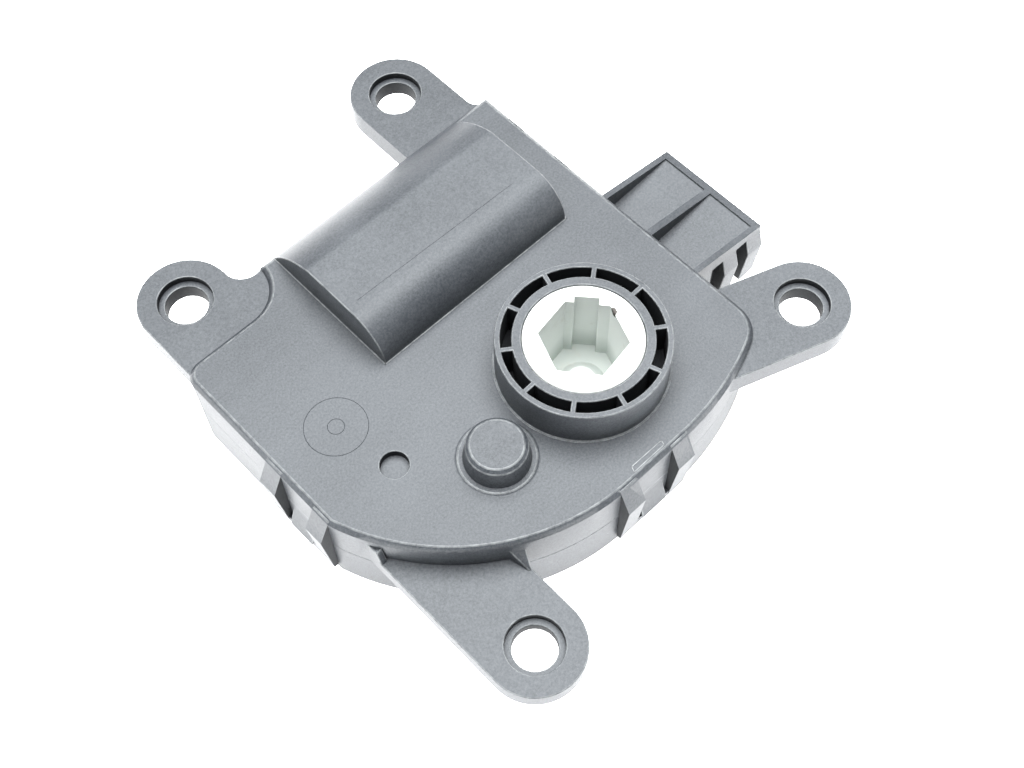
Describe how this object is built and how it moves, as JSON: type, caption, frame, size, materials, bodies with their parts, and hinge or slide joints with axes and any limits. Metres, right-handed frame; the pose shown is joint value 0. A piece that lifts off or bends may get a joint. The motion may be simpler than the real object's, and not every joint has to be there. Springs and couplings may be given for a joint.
{
  "type": "air damper actuator",
  "caption": "Flat geared motor unit with a ribbed collar round a keyed hexagonal socket, mounting ears and a cable socket; turns the flap of an air-conditioning case.",
  "frame": {"origin": "output axis at the face of the top plate", "axes": "+Z out of the output socket, +X along the motor axis towards the cable socket"},
  "size_m": [0.0681, 0.0786, 0.0193],
  "materials": {
    "housing_plastic": "fine grained grey moulding",
    "lower_plastic": "fine grained grey moulding",
    "hub_plastic": "plain white moulding",
    "gear_plastic": "plain natural acetal",
    "cap_plastic": "plain",
    "pin_steel": "ground",
    "motor_steel": "plated sheet",
    "core_steel": "stacked sheets",
    "magnet": "sintered",
    "copper": "enamelled",
    "worm_brass": "cut",
    "tinned_brass": "tinned",
    "damping_rubber": "foam",
    "board_laminate": "lacquered laminate",
    "track_film": "printed carbon"
  },
  "bodies": {
    "housing": {"upper_housing": "housing_plastic", "lower_housing": "lower_plastic", "first_gear_pin": "pin_steel", "second_gear_pin": "pin_steel", "third_gear_pin": "pin_steel", "motor_can": "motor_steel", "motor_end_cap": "cap_plastic", "motor_magnets": "magnet", "motor_brushes": "copper", "motor_terminals": "tinned_brass", "motor_pad": "damping_rubber", "circuit_board": "board_laminate", "resistive_tracks": "track_film", "connector_pins": "tinned_brass", "motor_leads": "tinned_brass"},
    "rotor": {"motor_shaft": "pin_steel", "worm": "worm_brass", "rotor_core": "core_steel", "rotor_windings": "copper", "commutator": "copper"},
    "first": {"first_gear": "gear_plastic"},
    "second": {"second_gear": "gear_plastic"},
    "third": {"third_gear": "gear_plastic"},
    "output": {"output_gear": "hub_plastic", "wiper": "tinned_brass"}
  },
  "joints": [
    {"name": "rotor_spin", "type": "hinge", "parent": "housing", "child": "rotor", "pos_m": [0, 0.0262, -0.0039], "axis": [1, 0, 0], "range_deg": [-28124, 28124]},
    {"name": "first_gear_spin", "type": "hinge", "parent": "housing", "child": "first", "pos_m": [-0.0245, 0.0161, -0.004], "axis": [0, 0, 1], "range_deg": [-879, 879]},
    {"name": "second_gear_spin", "type": "hinge", "parent": "housing", "child": "second", "pos_m": [-0.0249, 0.00536, -0.007], "axis": [0, 0, 1], "range_deg": [-424.4, 424.4]},
    {"name": "third_gear_spin", "type": "hinge", "parent": "housing", "child": "third", "pos_m": [-0.01586, -0.00214, -0.008], "axis": [0, 0, 1], "range_deg": [-180.1, 180.1]},
    {"name": "output_spin", "type": "hinge", "parent": "housing", "child": "output", "pos_m": [0, 0, 0], "axis": [0, 0, 1], "range_deg": [-60.1, 60.1]}
  ],
  "couplings": [
    {"joint": "first_gear_spin", "follows": "rotor_spin", "ratio": 0.03125},
    {"joint": "second_gear_spin", "follows": "rotor_spin", "ratio": -0.015086},
    {"joint": "third_gear_spin", "follows": "rotor_spin", "ratio": 0.0064002},
    {"joint": "output_spin", "follows": "rotor_spin", "ratio": -0.0021334}
  ]
}
